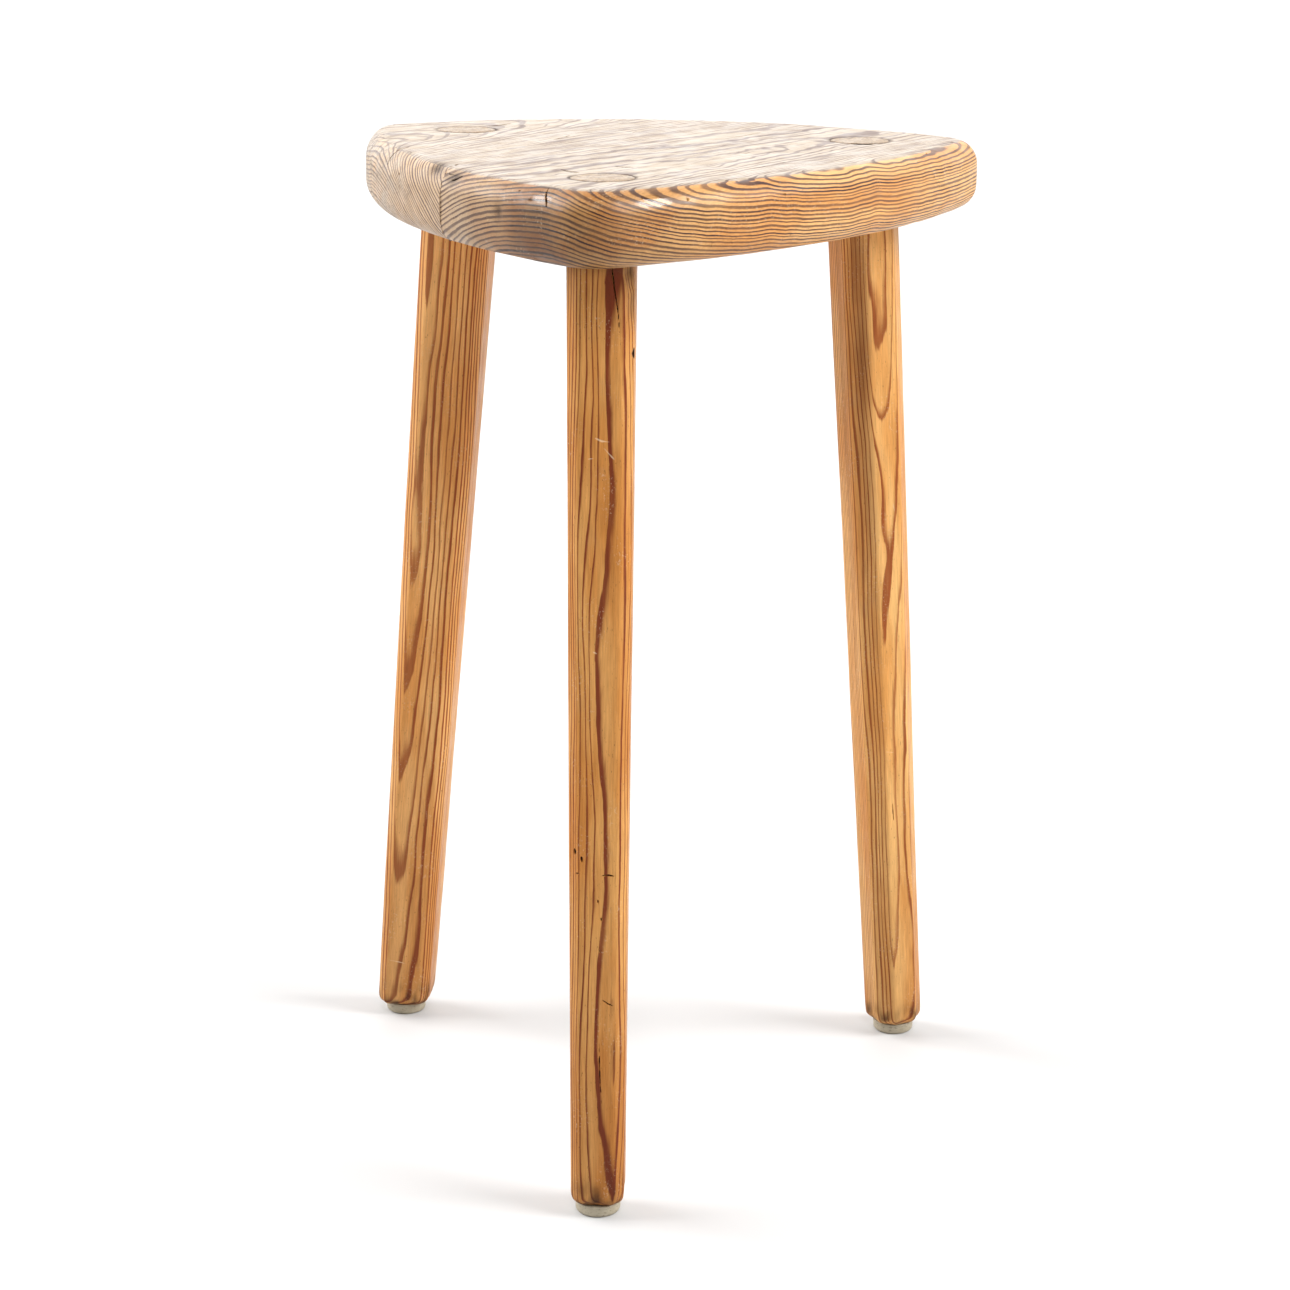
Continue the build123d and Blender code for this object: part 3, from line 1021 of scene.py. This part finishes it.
def object_place(graph):
    """Place on an object in millimetres."""
    node = graph.nodes.new("ShaderNodeTexCoord")
    return graph.stretch(node.outputs["Object"], (MM, MM, MM))


def glide_material():
    """Grey-beige moulded plastic, scuffed and grubby."""
    graph = Graph("glide_plastic")
    place = object_place(graph)
    tone = graph.noise(place, (5, 5, 5), detail=3)
    base = graph.mix(tone, colour(150, 138, 114), colour(190, 180, 158))
    grime = graph.noise(place, (1.6, 1.6, 0.8), detail=4, roughness=0.7)
    base = graph.mix(graph.spread(grime, 0.52, 0.7, 0.0, 0.7), base, colour(84, 68, 50))
    scratch = graph.noise(place, (0.5, 0.5, 4), detail=2)
    relief = graph.maths("MULTIPLY_ADD", scratch, 0.05, graph.maths("MULTIPLY", grime, 0.05))
    return graph.finish(base, graph.spread(grime, 0.3, 0.7, 0.34, 0.6), relief)


def steel_material():
    """Zinc-bright nail steel with fine drawing lines and dull spots."""
    graph = Graph("nail_steel")
    place = object_place(graph)
    lines = graph.noise(place, (0.15, 0.15, 5), detail=2)
    spots = graph.noise(place, (1.5, 1.5, 1.5), detail=3)
    base = graph.mix(spots, colour(150, 150, 152), colour(186, 186, 190))
    base = graph.mix(graph.spread(spots, 0.62, 0.72, 0.0, 0.6), base, colour(110, 84, 62))
    relief = graph.maths("MULTIPLY", lines, 0.01)
    return graph.finish(base, graph.spread(lines, 0.3, 0.7, 0.25, 0.42), relief, Metallic=1.0)


def beech_material():
    """Plain beech dowel, with short dark flecks along the grain."""
    graph = Graph("dowel_beech")
    place = object_place(graph)
    tone = graph.noise(place, (3, 9, 3), detail=3)
    base = graph.mix(tone, colour(196, 158, 118), colour(220, 186, 148))
    fleck = graph.noise(place, (0.6, 2.4, 0.6), detail=2)
    base = graph.mix(graph.spread(fleck, 0.6, 0.7, 0.0, 0.6), base, colour(138, 96, 62))
    relief = graph.maths("MULTIPLY", fleck, 0.04)
    return graph.finish(base, graph.spread(tone, 0.3, 0.7, 0.5, 0.65), relief)


def repaint(node, material):
    """A CAD node that keeps its shape gets a finished material."""
    piece = NODES[node]
    piece.data.materials.clear()
    piece.data.materials.append(material)


# ---------------- glides


def build_glide(leg, material):
    """A turned pad with a softened rim, a domed side and a slightly dished base."""
    low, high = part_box(f"glide_{leg.name}")
    centre = (np.array(low + high) / 2 / MM) * [1, 1, 0]
    radius = (high.x - low.x) / 2 / MM
    top = high.z / MM
    rim_height = 1.2
    rim_round = 0.5
    contact = radius * 2 / 3
    profile = [(0, top), (radius * 0.5, top), (radius - rim_round, top)]
    for turn in np.linspace(0.3, math.pi / 2, 4):
        out = radius - rim_round + rim_round * math.sin(turn)
        profile.append((out, top - rim_round + rim_round * math.cos(turn)))
    profile.append((radius, top - rim_height + 0.1))
    profile.append((radius - 0.12, top - rim_height))
    dome_high = top - rim_height - 0.1
    for turn in np.linspace(0.05, math.pi / 2, 12):
        share = math.cos(turn)
        out = contact + (radius - 0.25 - contact) * math.sin(math.acos(1 - share))
        profile.append((out, dome_high * (1 - math.sin(turn))))
    dish = 0.15
    profile += [(contact - 0.8, 0.0), (contact - 1.6, 0.12), (contact * 0.4, dish), (0, dish)]
    bm = bmesh.new()
    count = 72
    rings = []
    for out, height in profile[1:-1]:
        ring = []
        for number in range(count):
            turn = 2 * math.pi * number / count
            aside = np.array([out * math.cos(turn), out * math.sin(turn), height])
            ring.append(bm.verts.new((centre + aside) * MM))
        rings.append(ring)
    for upper, lower in zip(rings, rings[1:]):
        bridge(bm, lower, upper)
    for ring, height in ((rings[0], profile[0][1]), (rings[-1], profile[-1][1])):
        hub = bm.verts.new((centre + UP * height) * MM)
        for number in range(count):
            bm.faces.new((ring[number], ring[(number + 1) % count], hub))
    bmesh.ops.recalc_face_normals(bm, faces=bm.faces)
    mesh = bpy.data.meshes.new(f"glide_pad_{leg.name}")
    bm.to_mesh(mesh)
    bm.free()
    shade(mesh, 40)
    piece = new_object(f"glide_pad_{leg.name}", mesh)
    finish_piece(piece, material, "glide_plastic", f"glide_{leg.name}")


# ---------------- camera, light and floor


def add_camera():
    """A long lens, a little above the seat, looking gently down at the stool's front leg."""
    data = bpy.data.cameras.new("camera")
    camera = bpy.data.objects.new("camera", data)
    bpy.context.scene.collection.objects.link(camera)
    data.sensor_width = 36
    data.lens = 81.8
    tilt = Matrix.Rotation(math.radians(90 - 16.19), 4, "X")
    roll = Matrix.Rotation(0.0106, 4, "Z")
    camera.matrix_world = Matrix.Translation((-0.0096, -1.5367, 0.7082)) @ tilt @ roll
    bpy.context.scene.camera = camera


def add_sun(name, azimuth, elevation, strength, spread):
    """A large soft lamp. azimuth is from -Y towards +X."""
    data = bpy.data.lights.new(name, "SUN")
    data.energy = strength
    data.angle = math.radians(spread)
    lamp = bpy.data.objects.new(name, data)
    bpy.context.scene.collection.objects.link(lamp)
    aside = math.radians(azimuth)
    rise = math.radians(elevation)
    tip = Matrix.Rotation(math.pi / 2 - rise, 4, "X")
    lamp.matrix_world = Matrix.Rotation(aside, 4, "Z") @ tip


def add_world():
    """White studio walls that light less from behind the camera but look white all round."""
    world = bpy.data.worlds.new("studio")
    bpy.context.scene.world = world
    world.use_nodes = True
    nodes, links = world.node_tree.nodes, world.node_tree.links
    where = nodes.new("ShaderNodeTexCoord")
    parts = nodes.new("ShaderNodeSeparateXYZ")
    links.new(where.outputs["Generated"], parts.inputs[0])
    total = nodes.new("ShaderNodeMath")
    walls = ((-0.6, 0.3, 0.14, 0.8), (0.55, 0.92, 0.0, 1.7))
    for number, wall in enumerate(walls):
        fade = nodes.new("ShaderNodeMapRange")
        fade.interpolation_type = "SMOOTHSTEP"
        links.new(parts.outputs["Y"], fade.inputs["Value"])
        for name, value in zip(("From Min", "From Max", "To Min", "To Max"), wall):
            fade.inputs[name].default_value = value
        links.new(fade.outputs[0], total.inputs[number])
    rays = nodes.new("ShaderNodeLightPath")
    strength = nodes.new("ShaderNodeMix")
    links.new(rays.outputs["Is Camera Ray"], strength.inputs[0])
    links.new(total.outputs[0], strength.inputs[2])
    strength.inputs[3].default_value = 1.0
    links.new(strength.outputs[0], nodes["Background"].inputs["Strength"])
    nodes["Background"].inputs["Color"].default_value = (1, 1, 1, 1)


def add_floor():
    """A pale floor, evenly bright to the far edge."""
    half = 30.0  # metres
    mesh = bpy.data.meshes.new("floor")
    corners = [(-half, -half, 0), (half, -half, 0), (half, half, 0), (-half, half, 0)]
    mesh.from_pydata(corners, [], [(0, 1, 2, 3)])
    floor = new_object("floor", mesh)
    graph = Graph("floor_paint")
    node = graph.nodes.new("ShaderNodeTexCoord")
    tone = graph.noise(node.outputs["Object"], (0.4, 0.4, 0.4), detail=3)
    base = graph.mix(tone, (0.58, 0.58, 0.58, 1), (0.62, 0.62, 0.62, 1))
    mesh.materials.append(graph.finish(base, 0.7))


add_camera()
add_world()
add_sun("key_light", 78, 37, 3.05, 30)
add_sun("fill_light", -104, 36, 2.9, 40)
add_sun("front_light", 2, 51, 0.6, 12)
add_floor()
bpy.context.scene.view_settings.view_transform = "Standard"

build_board("seat_board_wide", wide_rings, wood_material(WIDE_PINE))
build_board("seat_board_narrow", narrow_rings, wood_material(NARROW_PINE))
plastic = glide_material()
steel = steel_material()
for leg in LEGS.values():
    build_leg(leg, wood_material(LEG_PINES[leg.name]))
    build_glide(leg, plastic)
    repaint(f"glide_nail_{leg.name}", steel)
beech = beech_material()
for node in ("seat_dowel_front", "seat_dowel_back"):
    repaint(node, beech)
